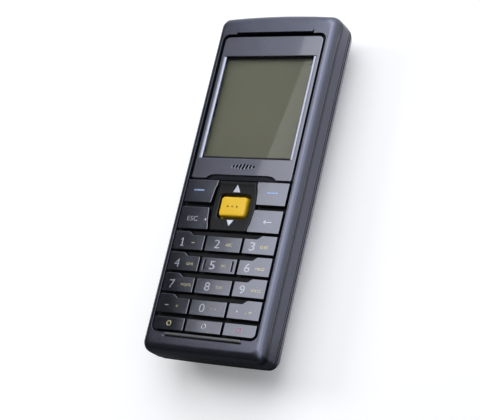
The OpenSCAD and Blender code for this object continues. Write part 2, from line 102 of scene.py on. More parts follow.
# %% [markdown]
# ## Effects that several finishes share
#
# Real plastic and paint are never one flat value. Each effect is a node group that is built once: a fine
# moulded grain, slow drifts of tone, the greasy patches that hands leave, the flakes in metallic paint, and a
# drift with a painted shade along the crease of the shell.
# They read Object coordinates, so they stay with the piece from every side.
#
# %% Node helpers
def feed(node, inputs):
    """Gives each input a plain value, an output socket to read, or the first output of another node."""
    for key, value in dict(inputs).items():
        if isinstance(value, bpy.types.Node):
            value = value.outputs[0]
        if isinstance(value, bpy.types.NodeSocket):
            node.id_data.links.new(value, node.inputs[key])
        else:
            node.inputs[key].default_value = value


def add_node(tree, kind, inputs=(), **settings):
    """A node of that kind with its settings and inputs."""
    made = tree.nodes.new("ShaderNode" + kind)
    for key, value in settings.items():
        setattr(made, key, value)
    feed(made, inputs)
    return made


def reckon(tree, operation, a, b=0.5):
    """A Math node that works on two numbers."""
    return add_node(tree, "Math", {0: a, 1: b}, operation=operation)


def spread(tree, value, span=(0, 1), levels=(0, 1), **settings):
    """A Map Range node: it takes a value from its span to the range between two levels."""
    return add_node(tree, "MapRange", {"Value": value, "From Min": span[0], "From Max": span[1],
                                       "To Min": levels[0], "To Max": levels[1]}, **settings)


def make_group(name, inputs):
    """A node group with float inputs of these names and default values, and one output."""
    tree = bpy.data.node_groups.new(name, "ShaderNodeTree")
    for key, value in inputs.items():
        tree.interface.new_socket(key, in_out="INPUT", socket_type="NodeSocketFloat").default_value = value
    tree.interface.new_socket("Value", in_out="OUTPUT", socket_type="NodeSocketFloat")
    return tree, tree.nodes.new("NodeGroupInput").outputs, tree.nodes.new("NodeGroupOutput")


# %% Effects
NOISE_SPAN = (0.32, 0.68)


def pattern_group(name, kind, scale, low, high, values=(), span=NOISE_SPAN, stretch=(1, 1, 1)):
    """A texture on Object coordinates, in grains per millimetre, whose red part is spread from its span to
    the range between low and high."""
    tree, start, end = make_group(name, {"Scale": scale, "Low": low, "High": high})
    place = add_node(tree, "TexCoord").outputs["Object"]
    turned = add_node(tree, "Mapping", {"Vector": place, "Scale": stretch})
    size = reckon(tree, "MULTIPLY", start["Scale"], 1 / MM)
    texture = add_node(tree, kind, {"Vector": turned, "Scale": size, **dict(values)})
    red = add_node(tree, "SeparateColor", {0: texture.outputs["Color"]})
    feed(end, {0: spread(tree, red, span, (start["Low"], start["High"]))})
    return tree


def painted_crease_shade_group(middle, reach, depth):
    """Tone drift, times a painted shade along the crease valley: the painted shade is full at the middle
    height and gone at its reach.
    """
    tree, start, end = make_group("Drift with painted crease shade", {"Low": 0.94, "High": 1.06})
    drift = add_node(tree, "Group", node_tree=DRIFT)
    feed(drift, {"Low": start["Low"], "High": start["High"]})
    parts = add_node(tree, "SeparateXYZ", {0: add_node(tree, "TexCoord").outputs["Object"]})
    away = reckon(tree, "ABSOLUTE", reckon(tree, "SUBTRACT", parts.outputs["Z"], middle * MM))
    shade = spread(tree, away, (0, reach * MM), (1 - depth, 1), interpolation_type="SMOOTHSTEP")
    feed(end, {0: reckon(tree, "MULTIPLY", drift, shade)})
    return tree


GRAIN = pattern_group("Moulded grain", "TexNoise", 6.0, 0.0, 1.0, {"Detail": 3})
DRIFT = pattern_group("Tone drift", "TexNoise", 0.06, 0.94, 1.06, {"Detail": 2})
HANDLING = pattern_group("Handling marks", "TexNoise", 0.12, 0.0, 1.0, {"Detail": 5})
BRUSHED = pattern_group("Brushed lines", "TexNoise", 1.0, 0.0, 1.0, {"Detail": 4}, stretch=(1, 40, 1))
FLAKES = pattern_group("Paint flakes", "TexVoronoi", 9.0, 0.9, 1.1, span=(0, 1))
# The shell's drift with a painted shade: the colour falls to a quarter 19 mm up and recovers 2.3 mm above and
# below.
DRIFT_AND_PAINTED_CREASE_SHADE = painted_crease_shade_group(19.0, 2.3, 0.75)
print("effects:", [g.name for g in bpy.data.node_groups])

# %% [markdown]
# ## Finishes
#
# One recipe covers the plastics, paints and metals: a base colour that drifts, a roughness that the handling
# marks vary, and a grain that stands up as bump. What sets one finish from the next is how much metal flake,
# clear coat and grain it has. Constants stay on the shader's own sockets.
#
# %% The general finish
def colour(code):
    """Linear red, green and blue of a colour written as #rrggbb."""
    parts = np.array([int(code[i:i + 2], 16) for i in (1, 3, 5)]) / 255
    return tuple(np.where(parts <= 0.04045, parts / 12.92, ((parts + 0.055) / 1.055) ** 2.4))


def principled(name):
    """A new material, its node tree and its Principled shader."""
    made = bpy.data.materials.new(name)
    made.use_nodes = True
    return made, made.node_tree, made.node_tree.nodes["Principled BSDF"]


def finish(name, code, roughness, metallic=0.0, coat=0.0, grain=(6.0, 0.02), drift=(0.94, 1.06),
           marks=0.06, effect=DRIFT, sockets=()):
    """A Principled material: colour times an effect, roughness plus handling marks, and a grain bump.
    grain is its frequency in grains per millimetre and its depth in millimetres."""
    made, tree, shader = principled(name)
    tone = add_node(tree, "Group", {"Low": drift[0], "High": drift[1]}, node_tree=effect)
    tint = add_node(tree, "Mix", {0: 1, 6: (*colour(code), 1), 7: tone}, data_type="RGBA",
                    blend_type="MULTIPLY")
    worn = add_node(tree, "Group", {"Low": roughness - marks, "High": roughness + marks}, node_tree=HANDLING)
    skin = add_node(tree, "Group", {"Scale": grain[0]}, node_tree=GRAIN)
    bump = add_node(tree, "Bump", {"Strength": 1.0, "Distance": grain[1] * MM, "Height": skin})
    feed(shader, {"Base Color": tint.outputs[2], "Roughness": worn, "Normal": bump, "Metallic": metallic,
                  "Coat Weight": coat, "Coat Roughness": 0.04, **dict(sockets)})
    return made


# %% The finishes of the outside
# The shell's colour carries a painted shade along the crease of the front casing.
SHELL = finish("satin anthracite shell", "#575965", 0.24, metallic=0.9, grain=(5.0, 0.004), marks=0.04,
               effect=DRIFT_AND_PAINTED_CREASE_SHADE)
LIP = finish("smooth grey lip", "#5a5c5e", 0.3, metallic=0.4, coat=0.1, grain=(5.0, 0.002))
BAND = finish("seam band plastic", "#54555f", 0.4, metallic=0.8, grain=(7.0, 0.006))
BEZEL = finish("metallic blue-grey bezel paint", "#565864", 0.25, metallic=0.9, coat=0.9,
               grain=(12.0, 0.0006), drift=(0.88, 1.12), marks=0.03, effect=FLAKES, sockets={"Coat IOR": 1.6})
TILE = finish("lacquered key tile", "#62646e", 0.13, metallic=0.95, coat=0.5, grain=(10.0, 0.0006),
              marks=0.04, effect=FLAKES)
ROCKER = finish("gloss black rocker", "#101113", 0.3, coat=0.06, grain=(4.0, 0.001), marks=0.05,
                sockets={"Specular IOR Level": 0.2})
# Near-black with no reflection: painted shadow inside gaps.
GAP_SHADOW = finish("shadow in a gap", "#020203", 0.85, grain=(5.0, 0.002), sockets={"Specular IOR Level": 0.0})
BLACK = finish("matt black plastic", "#08090b", 0.6, grain=(5.0, 0.008),
               sockets={"Specular IOR Level": 0.25})
TRIM = finish("bright window trim", "#7e818e", 0.2, metallic=1.0, grain=(3.0, 0.006), marks=0.05,
              drift=(0.6, 1.1), effect=FLAKES)
SCAN = finish("scan key yellow", "#e8bc20", 0.42, coat=0.05, grain=(8.0, 0.003),
              sockets={"Subsurface Weight": 0.1, "Subsurface Scale": 0.001})
AMBER = finish("amber mark ink", "#86640c", 0.45, grain=(9.0, 0.002))
WHITE_INK = finish("white legend ink", "#aeb0ba", 0.3, metallic=0.85, grain=(9.0, 0.001))
SILVER_INK = finish("silver arrow ink", "#c9ccd6", 0.35, metallic=0.4, grain=(9.0, 0.002))
YELLOW_INK = finish("yellow legend ink", "#bdb68e", 0.3, metallic=0.8, grain=(9.0, 0.001))
BLUE_INK = finish("pale blue legend ink", "#8aa2c8", 0.3, metallic=0.65, grain=(9.0, 0.001))
RED_INK = finish("red legend ink", "#a87486", 0.3, metallic=0.5, grain=(9.0, 0.001))
print("finishes so far:", len(bpy.data.materials))

# %% [markdown]
# ## The window and the display under it
#
# The display is an unlit olive panel behind a clear window. A painted reflection would do from one side only,
# so the window is a solid transparent body. It bends light less than bare acrylic, because a coated window
# reflects less.
#
# %% Window and display
def glass(name, tint, roughest, ior=1.49):
    """A clear body, polished but for faint handling marks."""
    made, tree, shader = principled(name)
    feed(shader, {"Base Color": (*tint, 1), "Transmission Weight": 1, "IOR": ior,
                  "Roughness": add_node(tree, "Group", {"Low": 0.0, "High": roughest}, node_tree=HANDLING)})
    return made


WINDOW = glass("clear window", (0.97, 0.98, 0.97), 0.03, ior=1.24)
RED_WINDOW = glass("red scan window", (0.55, 0.03, 0.04), 0.05)
LENS = glass("imager lens", (0.8, 0.85, 0.95), 0.02)
LCD = finish("olive display", "#504f3b", 0.6, grain=(2.2, 0.0004), drift=(0.95, 1.05), marks=0.05)

# %% Finishes of what is inside
def metal(name, code, roughness, drift):
    """A metal with fine brushed lines."""
    return finish(name, code, roughness, metallic=1.0, effect=BRUSHED, drift=drift)


STEEL = metal("zinc-plated steel", "#b9bcc2", 0.3, (0.8, 1.05))
WRAP = finish("battery wrap", "#2f3946", 0.32, coat=0.3, grain=(1.2, 0.02))
GOLD = metal("gold-plated contact", "#d9ab4e", 0.25, (0.85, 1.05))
RUBBER = finish("keypad rubber", "#8d9094", 0.7, grain=(8.0, 0.01))
FILM = finish("dome film", "#c7cad0", 0.25, coat=0.4, grain=(2.0, 0.004))
BOARD = finish("green board laminate", "#1d5a38", 0.38, coat=0.5, grain=(14.0, 0.012), drift=(0.7, 1.2),
               effect=BRUSHED)
TIN = metal("tinned shield", "#aeb1b4", 0.36, (0.85, 1.1))
EPOXY = finish("chip epoxy", "#1c1d20", 0.55, grain=(10.0, 0.01))
CELL = metal("cell steel", "#c9cbd0", 0.22, (0.9, 1.05))
ENGINE = finish("scan engine housing", "#33353c", 0.5, grain=(6.0, 0.01))
LAMP = finish("red lamp", "#c8352c", 0.2, coat=0.6, grain=(3.0, 0.002))
RIBBON = finish("ribbon film", "#b97d34", 0.3, coat=0.4, effect=BRUSHED, drift=(0.8, 1.1))
DIFFUSER = finish("white diffuser", "#e4e6e0", 0.5, grain=(3.0, 0.004))
CONNECTOR = finish("connector body", "#d6cfb8", 0.5, grain=(6.0, 0.006))

CARRIED = {
    "case_screws": STEEL, "battery_pack": WRAP, "battery_contacts": GOLD, "cradle_contacts": GOLD,
    "display_gasket": BLACK, "display_frame": BLACK, "display_window": WINDOW, "lcd_glass": LCD,
    "lcd_backlight": DIFFUSER, "lcd_connector": CONNECTOR, "speaker": BLACK, "keypad_frame": BLACK,
    "keypad_mat": RUBBER, "dome_sheet": FILM, "main_board": BOARD, "board_screws": STEEL,
    "board_shield": TIN, "processor_chip": EPOXY, "memory_backup_cell": CELL, "scan_engine": ENGINE,
    "engine_lens": LENS, "engine_lamps": LAMP, "engine_ribbon": RIBBON, "scan_window": RED_WINDOW,
}
for node_name, material in CARRIED.items():
    for material_slot in frame["nodes"][node_name].material_slots:
        material_slot.material = material
print("carried-over nodes with a finish:", len(CARRIED))

# %% [markdown]
# ## Tools for surfaces
#
# Almost everything here is a loop of points carried along a profile. A loft joins a stack of such loops, a
# plate stands an outline up and rolls its upper edge over, and a fill closes a flat top with triangles. A
# subdivided box would do for the body, but a formula keeps each radius exact. Faces turn outwards when the
# loops run anticlockwise and the stack goes up.
#
# %% Points, loops and lofts
def quarter(steps):
    """Angles over a quarter turn, with both its ends."""
    return np.linspace(0, math.pi / 2, steps)


def whole_turn(steps):
    """Angles once round."""
    return np.linspace(0, 2 * math.pi, steps, endpoint=False)


def at_height(loop, z):
    """A flat loop lifted to one height, or to a height for each point."""
    return np.column_stack([loop, np.broadcast_to(z, len(loop))])


def joined(*shapes):
    """Several (points, faces) shapes as one."""
    points, faces, start = [], [], 0
    for some_points, some_faces in shapes:
        points.append(some_points)
        faces += [[i + start for i in face] for face in some_faces]
        start += len(some_points)
    return np.vstack(points), faces


def mirrored(shape):
    """A shape's mirror image across x = 0, with its faces turned outwards again."""
    points, faces = shape
    return points * [-1, 1, 1], [face[::-1] for face in faces]


def loft(rings, closed=False):
    """Quads between neighbouring rings of equal length; closed joins the last ring to the first."""
    rings = np.asarray(rings, float)
    index = np.arange(rings.shape[0] * rings.shape[1]).reshape(rings.shape[:2])
    below = index if closed else index[:-1]
    above = np.roll(index, -1, 0) if closed else index[1:]
    quads = np.stack([below, np.roll(below, -1, 1), np.roll(above, -1, 1), above], -1).reshape(-1, 4)
    return rings.reshape(-1, 3), quads.tolist()


def capped(rings):
    """A loft closed at both ends by one polygon each."""
    points, faces = loft(rings)
    around = len(rings[0])
    return points, faces + [list(range(around))[::-1], list(range(len(points) - around, len(points)))]


# %% Outlines
def moved(corners, distance):
    """Each corner slides along the bisector of its two sides, to the left of the way round."""
    side = np.roll(corners, -1, 0) - corners
    normal = np.column_stack([-side[:, 1], side[:, 0]]) / np.linalg.norm(side, axis=1, keepdims=True)
    before = np.roll(normal, 1, 0)
    return corners + distance * (before + normal) / (1 + (before * normal).sum(1, keepdims=True))


class Outline:
    """Anticlockwise corners, each softened by a parabola that leaves one side and joins the next at the given
    distance from the corner, with a point about every SPACING along the sides, so that they can follow a
    crown. Drawn in, an outline keeps its number of points, so its rings can be lofted."""

    SPACING = 1.6

    def __init__(self, corners, soft, steps=4):
        self.corners = np.asarray(corners, float)
        self.soft = np.broadcast_to(np.asarray(soft, float), len(self.corners))
        self.steps = steps
        lengths = np.linalg.norm(np.roll(self.corners, -1, 0) - self.corners, axis=1)
        self.counts = (lengths // self.SPACING).astype(int)

    def at(self, inset=0.0):
        """The outline's points, drawn in by a distance."""
        corner = moved(self.corners, inset)
        back, ahead = np.roll(corner, 1, 0) - corner, np.roll(corner, -1, 0) - corner
        back_length, ahead_length = np.linalg.norm(back, axis=1), np.linalg.norm(ahead, axis=1)
        bend = np.arctan2(ahead[:, 0] * back[:, 1] - ahead[:, 1] * back[:, 0], -(ahead * back).sum(1))
        soft = np.maximum(self.soft - inset * np.tan(bend / 2), 0.01)
        a = corner + back * np.minimum(soft / back_length, 0.48)[:, None]
        b = corner + ahead * np.minimum(soft / ahead_length, 0.48)[:, None]
        t = np.linspace(0, 1, self.steps + 1)[None, :, None]
        turns = (1 - t) ** 2 * a[:, None] + 2 * t * (1 - t) * corner[:, None] + t ** 2 * b[:, None]
        sides = [np.linspace(start, end, count + 2)[1:-1]
                 for start, end, count in zip(b, np.roll(a, -1, 0), self.counts)]
        return np.vstack([part for pair in zip(turns, sides) for part in pair])

    def mirrored(self):
        """The outline's mirror image across x = 0."""
        return Outline((self.corners * [-1, 1])[::-1], self.soft[::-1], self.steps)

    def as_hole(self):
        """The outline run through clockwise."""
        return Outline(self.corners[::-1], self.soft[::-1], self.steps)


def rectangle(x0, y0, x1, y1, soft, steps=4):
    """An outline with four corners."""
    return Outline([(x0, y0), (x1, y0), (x1, y1), (x0, y1)], soft, steps)


def centred(x, y, half_x, half_y, soft, steps=4):
    """A rectangle about its middle."""
    return rectangle(x - half_x, y - half_y, x + half_x, y + half_y, soft, steps)


# %% Flat fills and plates
def inside(loops, spots):
    """Even-odd test: whether each spot is inside an odd number of the loops."""
    odd = np.zeros(len(spots), bool)
    for loop in loops:
        a, b = loop[:, None], np.roll(loop, -1, 0)[:, None]
        crosses = (a[..., 1] > spots[:, 1]) != (b[..., 1] > spots[:, 1])
        with np.errstate(divide="ignore", invalid="ignore"):
            where = a[..., 0] + (spots[:, 1] - a[..., 1]) * (b[..., 0] - a[..., 0]) / (b[..., 1] - a[..., 1])
        odd ^= (crosses & (spots[:, 0] < where)).sum(0) % 2 == 1
    return odd


NO_POINTS = np.empty((0, 2))


def fill(loops, extra=NO_POINTS):
    """Triangles of the area between flat loops, as indices into their points and then the extra points."""
    edges, start = [], 0
    for loop in loops:
        edges += [(start + i, start + (i + 1) % len(loop)) for i in range(len(loop))]
        start += len(loop)
    found = delaunay_2d_cdt([Vector(p) for p in np.vstack([*loops, extra])], edges, [], 0, 1e-7)
    spots = np.array([tuple(p) for p in found[0]])
    triangles = np.array(found[2])
    triangles = triangles[inside(loops, spots[triangles].mean(1))]
    origin = np.array([source[0] for source in found[3]])
    return origin[triangles]


def plate(outline, low, high, roll=0.25, holes=(), top=None, grid=None, steps=4, support=0.12):
    """An outline's wall stands from low to high, turns over a quarter circle of radius roll and closes flat.
    Holes are clockwise outlines. top(x, y) lowers the upper face, and grid spaces extra points over it."""
    outlines, flat = (outline, *holes), roll + support
    insets = [0.0] + [roll * (1 - math.cos(a)) for a in quarter(steps + 1)] + [flat]
    levels = [low] + [high - roll + roll * math.sin(a) for a in quarter(steps + 1)] + [high]
    shapes, upper, lower, start = [], [], [], 0
    for loop in outlines:
        rings = [at_height(loop.at(inset), z) for inset, z in zip(insets, levels)]
        shapes.append(loft(rings))
        lower.append(np.arange(len(rings[0])) + start)
        upper.append(lower[-1] + len(rings[0]) * (len(rings) - 1))
        start += len(rings[0]) * len(rings)
    points, faces = joined(*shapes)
    extra = NO_POINTS
    if grid:
        (x0, y0), (x1, y1) = outline.at().min(0) + grid / 2, outline.at().max(0) - grid / 2
        lattice = np.meshgrid(np.arange(x0, x1, grid), np.arange(y0, y1, grid))
        extra = np.column_stack([axis.ravel() for axis in lattice])
        extra = extra[inside([loop.at(flat + 0.3 * grid) for loop in outlines], extra)]
        points = np.vstack([points, at_height(extra, high)])
        upper.append(np.arange(start, start + len(extra)))
    faces += np.concatenate(upper)[fill([loop.at(flat) for loop in outlines], extra)].tolist()
    faces += np.concatenate(lower)[fill([loop.at() for loop in outlines])[:, ::-1]].tolist()
    if top is not None:
        share = np.clip((points[:, 2] - low) / (high - low), 0, 1)
        points[:, 2] -= share * top(points[:, 0], points[:, 1])
    return points, faces


# %% Pieces
def points_of(mesh):
    """A mesh's coordinates in one row."""
    points = np.zeros(len(mesh.vertices) * 3)
    mesh.vertices.foreach_get("co", points)
    return points


def mesh_of(name, shape, material):
    """A mesh with a material, from a shape in millimetres."""
    points, faces = shape
    mesh = bpy.data.meshes.new(name)
    mesh.from_pydata((points * MM).tolist(), [], faces)
    mesh.materials.append(material)
    return mesh


def evaluated_mesh(piece):
    """A new mesh of what an object's curve or modifiers make."""
    return bpy.data.meshes.new_from_object(piece.evaluated_get(bpy.context.evaluated_depsgraph_get()))


def tied(piece, body, stands_for, crease):
    """Keeps a piece's edges over crease degrees sharp, ties it to its body and hides the CAD nodes that it
    stands for.
    """
    piece.data.shade_smooth()
    piece.data.set_sharp_from_angle(angle=math.radians(crease))
    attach(piece, body)
    if stands_for:
        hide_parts(*stands_for)
    return piece


def add_piece(name, shape, material, body, stands_for=(), crease=38):
    """A piece of this shape in the scene, tied to its body, with the CAD nodes that it stands for hidden."""
    return tied(linked(name, mesh_of(name, shape, material)), body, stands_for, crease)


# %% [markdown]
# ## The body's form
#
# The body is a stack of rounded rectangles. Going down from the seam the rectangles shrink along quarter
# ellipses, fast at the heel and over the long round back, and slowly at the nose. Going up they shrink a
# little at the sides, where the brow is, and more at the ends, where the front rolls off. Both ends bow out.
#
# %% Sizes of the body
HALF_W, HALF_L = 25.8, 67.5
RIM_Z, BELT_Z, BROW_FOOT = 23.55, 13.2, 18.3
SEAM = (10.9, 12.9)
WALL = 1.8
BACK_CURVE, HEEL_CURVE, NOSE_CURVE = 13.6, 12.0, 5.5
BROW, END_ROLL, CORNER = 2.85, 3.5, 3.0
CORNER_GAIN, CORNER_LOSS = 7.0, 0.6
BOW_TOP, BOW_LOW, BOW_REACH = 0.95, 0.25, 40
CROWN, RIM_CROWN = 0.55, 0.35
FULLNESS = 2.5
OPEN_HALF, OPEN_LOW, OPEN_HIGH, OPEN_CORNER = 22.75, -60.1, 59.0, 2.8
TAB_HALF, TAB_Y, NICK_Y, NICK_OUT = 16.45, 59.7, 60.5, 16.95


def crown(x, y=0):
    """How far the front falls away towards the sides: slowly at first, with the fourth power of x."""
    return CROWN * (x / HALF_W) ** 4


def end_marks(half, tab, nick):
    """X places along an end, from right to left: the same number for every ring, close at the tab's steps."""
    right = np.concatenate([np.linspace(half, nick, 6), [nick - 0.001, tab + 0.001], [tab],
                            np.linspace(tab, 0, 10)[1:]])
    return np.concatenate([right, -right[-2::-1]])


def body_ring(half, low, high, corner, z, tab=TAB_HALF, nick=NICK_OUT, tab_rise=0.0, nick_rise=0.0, bow=True):
    """An anticlockwise rounded rectangle. The middle of its upper end can rise by tab_rise, with a nick
    beside it, and both ends bow with the square of x."""
    turn = quarter(9)
    corner_x, corner_y = half - corner + corner * np.cos(turn), corner * np.sin(turn) - corner
    marks = end_marks(half - corner, tab, nick)
    size = np.abs(marks)
    rise = np.where(size <= tab, tab_rise, np.where(size < nick, nick_rise, 0.0))
    side = np.linspace(low + corner, high - corner, 41)[1:-1]
    end_x = np.concatenate([corner_x, marks[1:-1], -corner_x[::-1]])
    upper_y = np.concatenate([high + corner_y, high + rise[1:-1], high + corner_y[::-1]])
    lower_y = np.concatenate([low - corner_y, np.full(len(marks) - 2, low), low - corner_y[::-1]])
    loop = np.vstack([np.column_stack([np.full(len(side), half), side]), np.column_stack([end_x, upper_y]),
                      np.column_stack([np.full(len(side), -half), side[::-1]]),
                      np.column_stack([-end_x, lower_y])])
    if bow:
        share = (loop[:, 0] / HALF_W) ** 2
        loop[:, 1] -= share * np.clip(loop[:, 1] / BOW_REACH, 0, 1) * BOW_TOP
        loop[:, 1] += share * np.clip(-loop[:, 1] / BOW_REACH, 0, 1) * BOW_LOW
    return at_height(loop, z)


def back_ring(z, inset=0.0):
    """The body's outline at a height below the belt."""
    fall = 1 - math.sqrt(max(0.0, 1 - ((BELT_Z - z) / BELT_Z) ** 2))
    return body_ring(HALF_W - BACK_CURVE * fall - inset, HEEL_CURVE * fall - HALF_L + inset,
                     HALF_L - NOSE_CURVE * fall - inset, CORNER + CORNER_GAIN * fall, z)


def front_ring(z):
    """The body's outline above the foot of the brow. The sides and the ends roll over along a superellipse,
    which stays full at the shoulder."""
    rise = (z - BROW_FOOT) / (RIM_Z - BROW_FOOT)
    fall = 1 - max(0.0, 1 - rise ** FULLNESS) ** (1 / FULLNESS)
    return body_ring(HALF_W - BROW * fall, END_ROLL * fall - HALF_L, HALF_L - END_ROLL * fall,
                     CORNER - CORNER_LOSS * fall, z)


# %% [markdown]
# ## Front casing
#
# The real front is one moulding, so its cross-section is one closed line carried round the body: up from the
# seam, over a fine crease, round the brow, across the rim, past the groove under the keypad, down through the
# opening and back along the inner wall. The rim falls away a little towards the sides, as the keys do.
#
# %% Build the front casing
CREASE_Z, CREASE_DEPTH, CREASE_WIDTH = 18.4, 0.12, 0.5
LEAN, LEAN_TOP, SIDE_END, SIDE_FADE = 0.55, 20.4, 64.5, 9
GROOVE_HALF, GROOVE_DEPTH, UPPER_RIM = 16.8, 0.8, 61.4
GROOVE_EDGES = ((1.62, False), (1.6, True), (0.92, True), (0.9, False))


def side_inset(y, z):
    """A bell-shaped valley, and a side that leans in towards it from the belt below and the brow above. Both
    fade out before the corners."""
    valley = CREASE_DEPTH * np.exp(-((z - CREASE_Z) / CREASE_WIDTH) ** 2)
    lean = LEAN * np.interp(z, (BELT_Z, CREASE_Z, LEAN_TOP), (0, 1, 0))
    return (valley + lean) * np.clip((SIDE_END - np.abs(y)) / SIDE_FADE, 0, 1)


def opening_ring(z, out=0.0, low_out=0.0, high=None):
    """The front opening, drawn out by a distance; low_out and high shift its two ends on their own."""
    tabbed = high is None
    return body_ring(OPEN_HALF + out, OPEN_LOW - out - low_out, OPEN_HIGH + out if tabbed else high,
                     OPEN_CORNER + out, z, tab=TAB_HALF + out, nick=NICK_OUT + out, bow=False,
                     tab_rise=TAB_Y - OPEN_HIGH if tabbed else 0,
                     nick_rise=NICK_Y - OPEN_HIGH if tabbed else 0)


def groove_ring(distance, sinks):
    """A ring of the flat rim, at a distance below the opening. It can sink where the groove runs."""
    ring = opening_ring(RIM_Z, out=0.5, low_out=distance - 0.5, high=UPPER_RIM + distance)
    sunk = (np.abs(ring[:, 0]) < GROOVE_HALF) & (ring[:, 1] < OPEN_LOW) & sinks
    ring[sunk, 2] -= GROOVE_DEPTH
    return ring


def front_casing_shape():
    """The stack of rings from the seam over the brow and down through the opening, back to its start."""
    lip = 0.4
    rings = [back_ring(SEAM[1], WALL - 0.3), back_ring(SEAM[1], lip), back_ring(SEAM[1] + 0.06, 0.06),
             back_ring(SEAM[1] + lip, 0.0)]
    rings += [body_ring(HALF_W, -HALF_L, HALF_L, CORNER, z)
              for z in (*np.linspace(13.3, 16.6, 5), *np.linspace(16.9, BROW_FOOT, 13))]
    rings += [front_ring(BROW_FOOT + (RIM_Z - BROW_FOOT) * share) for share in np.sin(quarter(26)[1:])]
    rings += [groove_ring(distance, sinks) for distance, sinks in GROOVE_EDGES]
    rings += [opening_ring(RIM_Z, 0.06), opening_ring(RIM_Z - 0.05), opening_ring(RIM_Z - WALL),
              opening_ring(RIM_Z - WALL, 0.9), back_ring(SEAM[1] + 0.5, WALL)]
    points, faces = loft(rings, closed=True)
    points[:, 0] -= np.sign(points[:, 0]) * side_inset(points[:, 1], points[:, 2])
    share = np.clip((points[:, 2] - BROW_FOOT) / (RIM_Z - BROW_FOOT), 0, 1)
    points[:, 2] -= share * RIM_CROWN / CROWN * crown(points[:, 0])
    return points, faces


front_casing = add_piece("front_casing", front_casing_shape(), SHELL, "casing",
                         ["front_shell"])

lip_outline = rectangle(-16.3, -61.15, 16.3, -60.05, 0.4)
add_piece("keypad_lip", plate(lip_outline, RIM_Z - 1, RIM_Z + 0.35, roll=0.3, top=crown, support=0.05),
          LIP, "casing")
# A black plate on the groove's floor paints the shade in the groove under the lip.
groove_shade_floor = rectangle(-GROOVE_HALF, -61.72, GROOVE_HALF, -61.05, 0.2)
add_piece("keypad_groove_shade", plate(groove_shade_floor, RIM_Z - 0.9, RIM_Z - 0.25, roll=0.05, top=crown),
          BLACK, "casing")
print("front casing:", len(front_casing.data.polygons), "faces")

# %% [markdown]
# ## Seam band
#
# A darker band lies between the two shells, set in a little, so that two fine parting lines run round the
# body. It is the same stack of outlines, with a wall behind it. Near-black rings inside the two gaps paint
# the shadow in the parting lines.
#
# %% Build the seam band
def seam_band_shape():
    """Rings up the softened outer face and down the inner one."""
    inset, edge, gap = 0.14, 0.3, 0.12
    outer = [(SEAM[0] + gap, inset + edge), (SEAM[0] + gap + edge, inset), (SEAM[1] - gap - edge, inset),
             (SEAM[1] - gap, inset + edge), (SEAM[1] - gap, WALL - 0.25), (SEAM[0] + gap, WALL - 0.25)]
    return loft([back_ring(z, d) for z, d in outer], closed=True)


add_piece("seam_belt", seam_band_shape(), BAND, "casing", ["seam_band"])
# Painted shadow: a near-black ring fills each gap beside the band.
parting = [loft([back_ring(z, d) for z, d in ((low, 0.1), (high, 0.1), (high, 0.9), (low, 0.9))], closed=True)
           for low, high in ((SEAM[0] - 0.02, SEAM[0] + 0.4), (SEAM[1] - 0.45, SEAM[1] + 0.27))]
add_piece("parting_line_shadows", joined(*parting), GAP_SHADOW, "casing")

# %% [markdown]
# ## Rear casing, battery cover and scan window frame
#
# These carry bays, wells and bosses that the construction already holds exactly. Only their outer skin
# changes: each keeps its insides and is cut to the smooth form of the body, whose corners are rounded where
# the plain prisms meet in a sharp mitre.
#
# %% Cut the construction to the smooth form
SKIN_INSET, SKIN_CREASE = 0.03, 32
WELD = 2e-6
STRETCH_FROM, STRETCH_TO, STRETCH = 21, 25.3, 0.3


def smooth_form():
    """The body from the resting face to the seam, as one closed solid."""
    heights = [BELT_Z * (1 - math.sin(a)) for a in quarter(30)[::-1]]
    return capped([back_ring(z, SKIN_INSET) for z in heights])


def widened_copy(node_name, material):
    """A CAD node's mesh with its doubles merged and its flanks moved out to the width of the body."""
    mesh = frame["nodes"][node_name].data.copy()
    welded = bmesh.new()
    welded.from_mesh(mesh)
    bmesh.ops.remove_doubles(welded, verts=welded.verts, dist=WELD)
    welded.to_mesh(mesh)
    welded.free()
    points = points_of(mesh)
    x = points[::3]
    points[::3] += np.sign(x) * np.interp(np.abs(x) / MM, (STRETCH_FROM, STRETCH_TO), (0, STRETCH)) * MM
    mesh.vertices.foreach_set("co", points)
    mesh.materials.clear()
    mesh.materials.append(material)
    return mesh


def skinned(name, node_name, material):
    """A copy of a CAD node, cut to the form by a Boolean that keeps solids closed."""
    piece = linked(name, widened_copy(node_name, material))
    cut = piece.modifiers.new("cut", "BOOLEAN")
    cut.operation, cut.solver, cut.object = "INTERSECT", "MANIFOLD", form
    result = evaluated_mesh(piece)
    piece.modifiers.clear()
    piece.data = result
    piece.modifiers.new("even shading", "WEIGHTED_NORMAL").keep_sharp = True
    tied(piece, frame["nodes"][node_name]["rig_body"], [node_name], SKIN_CREASE)
    print(name, "keeps", len(result.polygons), "faces")


form = linked("form", mesh_of("form", smooth_form(), SHELL))
skinned("rear_casing", "rear_shell", SHELL)
skinned("battery_lid", "battery_cover", SHELL)
skinned("window_surround", "scan_window_frame", BAND)
bpy.data.objects.remove(form)

